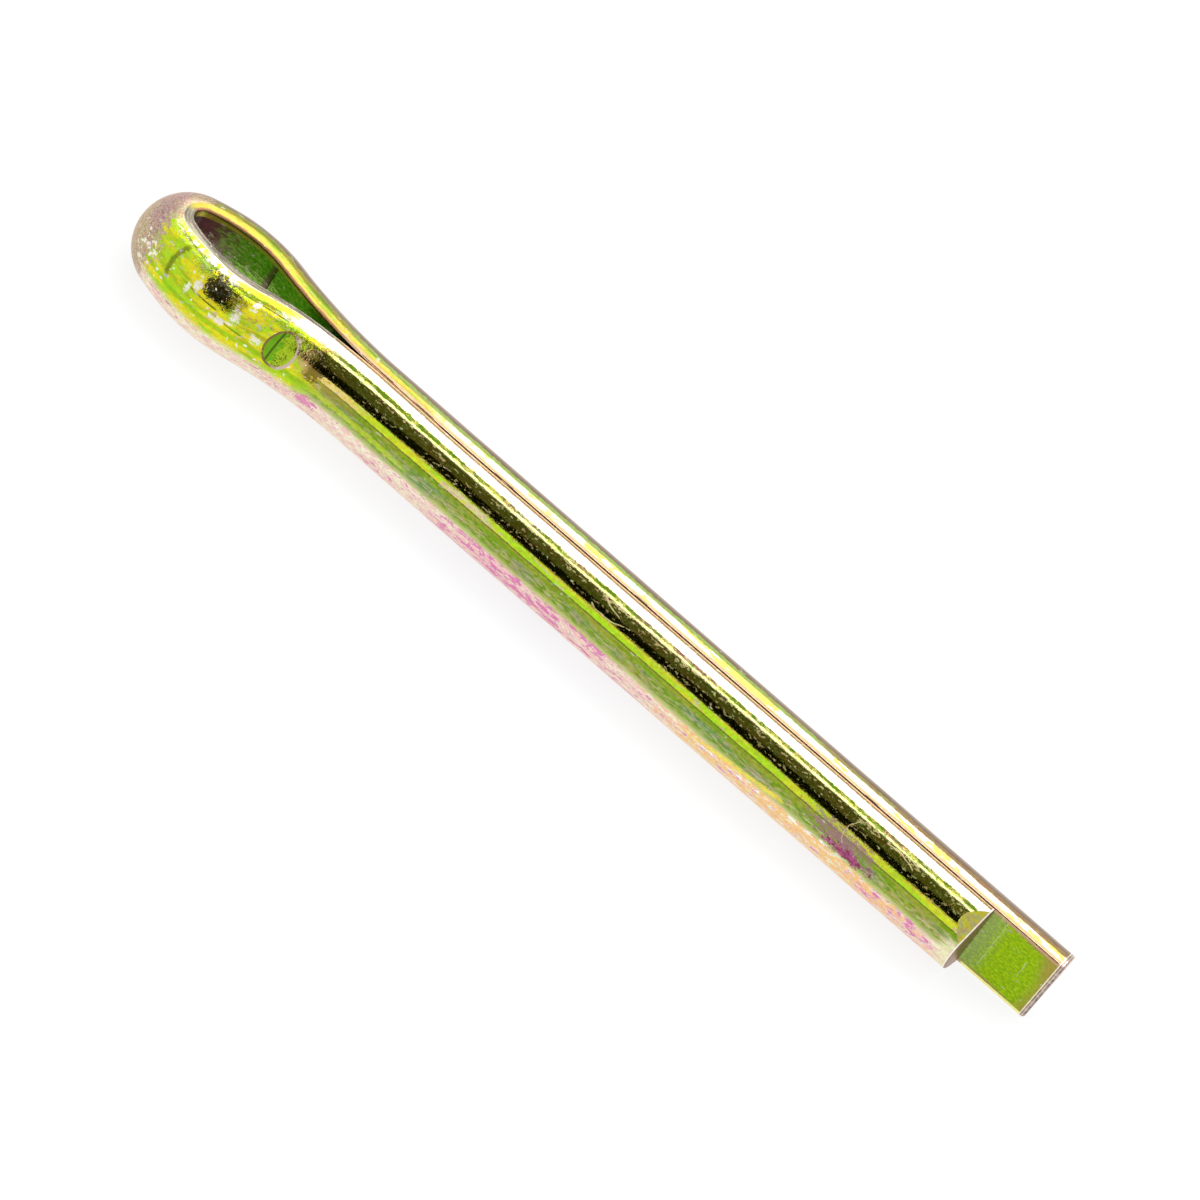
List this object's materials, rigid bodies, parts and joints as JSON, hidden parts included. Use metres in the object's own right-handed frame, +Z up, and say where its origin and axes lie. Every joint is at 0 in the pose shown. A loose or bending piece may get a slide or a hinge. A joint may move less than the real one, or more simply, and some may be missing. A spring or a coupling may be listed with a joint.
{
  "type": "cotter pin",
  "caption": "Half-round steel wire folded into a split cotter pin with a teardrop eye and unequal straight legs, zinc plated with an iridescent yellow finish.",
  "frame": {"origin": "on the surface that the pin lies on, at the middle of its overall length and of the width of its eye", "axes": "+X along the legs from the eye to the tips, +Y from the short leg to the long leg, +Z up through the opening of the eye"},
  "size_m": [0.058, 0.007, 0.0046],
  "materials": {
    "yellow_zinc_plate": "bright drawn steel wire, zinc plated, with an iridescent yellow-green passivate that is worn pale on the edges"
  },
  "bodies": {
    "root": {"cotter_pin": "yellow_zinc_plate"}
  },
  "joints": []
}
